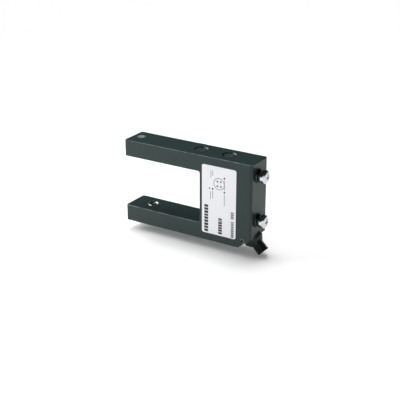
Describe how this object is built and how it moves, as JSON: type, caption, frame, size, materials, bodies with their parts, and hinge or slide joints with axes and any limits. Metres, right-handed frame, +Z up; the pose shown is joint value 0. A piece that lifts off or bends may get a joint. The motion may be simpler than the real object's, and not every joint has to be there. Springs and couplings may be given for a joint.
{
  "type": "fork sensor",
  "caption": "U-shaped optical fork sensor in a die-cast housing, with a light beam across its gap, rotary adjusters on top, rear screws and an angled threaded connector.",
  "frame": {"origin": "on the rear mounting face, at mid thickness and at the middle of the sensing gap's height", "axes": "+X out of the rear face, away from the arm tips; +Z up, from the lower arm to the upper arm; +Y towards the back cover"},
  "size_m": [0.0975, 0.0194, 0.0605],
  "materials": {
    "housing_paint": "fine satin powder coat on die-cast zinc, dark grey-green",
    "cover_paint": "fine satin powder coat on sheet, dark grey-green",
    "black_rubber": "matt black moulded rubber",
    "plated_screw": "zinc-plated steel, semi-bright",
    "nickel_screw": "bright nickel-plated steel",
    "spring_steel": "dark plated spring steel",
    "label_film": "white satin polyester film with plain grey and black marks",
    "board_laminate": "green solder mask on glass laminate",
    "chip_plastic": "black epoxy chip package",
    "capacitor_can": "bright drawn can",
    "bezel_ring": "bright plated brass ring",
    "lens_glass": "clear optical glass",
    "holder_plastic": "matt black moulded plastic",
    "clear_resin": "water-clear epoxy",
    "dark_resin": "dark filter epoxy",
    "window_resin": "milky clear moulded plastic",
    "connector_black": "black plated brass, satin",
    "insert_plastic": "black moulded plastic",
    "gold_contact": "gold-plated brass, polished",
    "lead_jacket": "brown plastic jacket",
    "bush_plastic": "black moulded plastic",
    "rotor_plastic": "dark grey moulded plastic, satin"
  },
  "bodies": {
    "sensor": {"housing": "housing_paint", "back_cover": "cover_paint", "cover_gasket": "black_rubber", "cover_screws": "plated_screw", "label": "label_film", "circuit_board": "board_laminate", "controller_chip": "chip_plastic", "output_driver": "chip_plastic", "supply_capacitors": "capacitor_can", "emitter_bezel": "bezel_ring", "emitter_lens": "lens_glass", "emitter_holder": "holder_plastic", "emitter_diode": "clear_resin", "receiver_bezel": "bezel_ring", "receiver_lens": "lens_glass", "receiver_holder": "holder_plastic", "receiver_diode": "dark_resin", "indicator_window": "window_resin", "indicator_lamp": "clear_resin", "connector_shell": "connector_black", "connector_insert": "insert_plastic", "connector_key": "insert_plastic", "contact_pins": "gold_contact", "connector_seal": "black_rubber", "connector_leads": "lead_jacket", "connector_lock_screw": "plated_screw", "upper_mount_screw": "nickel_screw", "upper_flat_washer": "nickel_screw", "upper_spring_washer": "spring_steel", "lower_mount_screw": "nickel_screw", "lower_flat_washer": "nickel_screw", "lower_spring_washer": "spring_steel", "sensitivity_bush": "bush_plastic", "sensitivity_seal": "black_rubber", "sensitivity_case": "holder_plastic", "mode_bush": "bush_plastic", "mode_seal": "black_rubber", "mode_case": "holder_plastic"},
    "sensitivity_rotor": {"sensitivity_rotor": "rotor_plastic"},
    "mode_rotor": {"mode_rotor": "rotor_plastic"}
  },
  "joints": [
    {"name": "sensitivity_turn", "type": "hinge", "parent": "sensor", "child": "sensitivity_rotor", "pos_m": [-0.0213, 0.0005, 0.027], "axis": [0, 0, 1], "range_deg": [-135, 135]},
    {"name": "mode_turn", "type": "hinge", "parent": "sensor", "child": "mode_rotor", "pos_m": [-0.041, 0.0005, 0.027], "axis": [0, 0, 1], "range_deg": [-90, 90]}
  ]
}
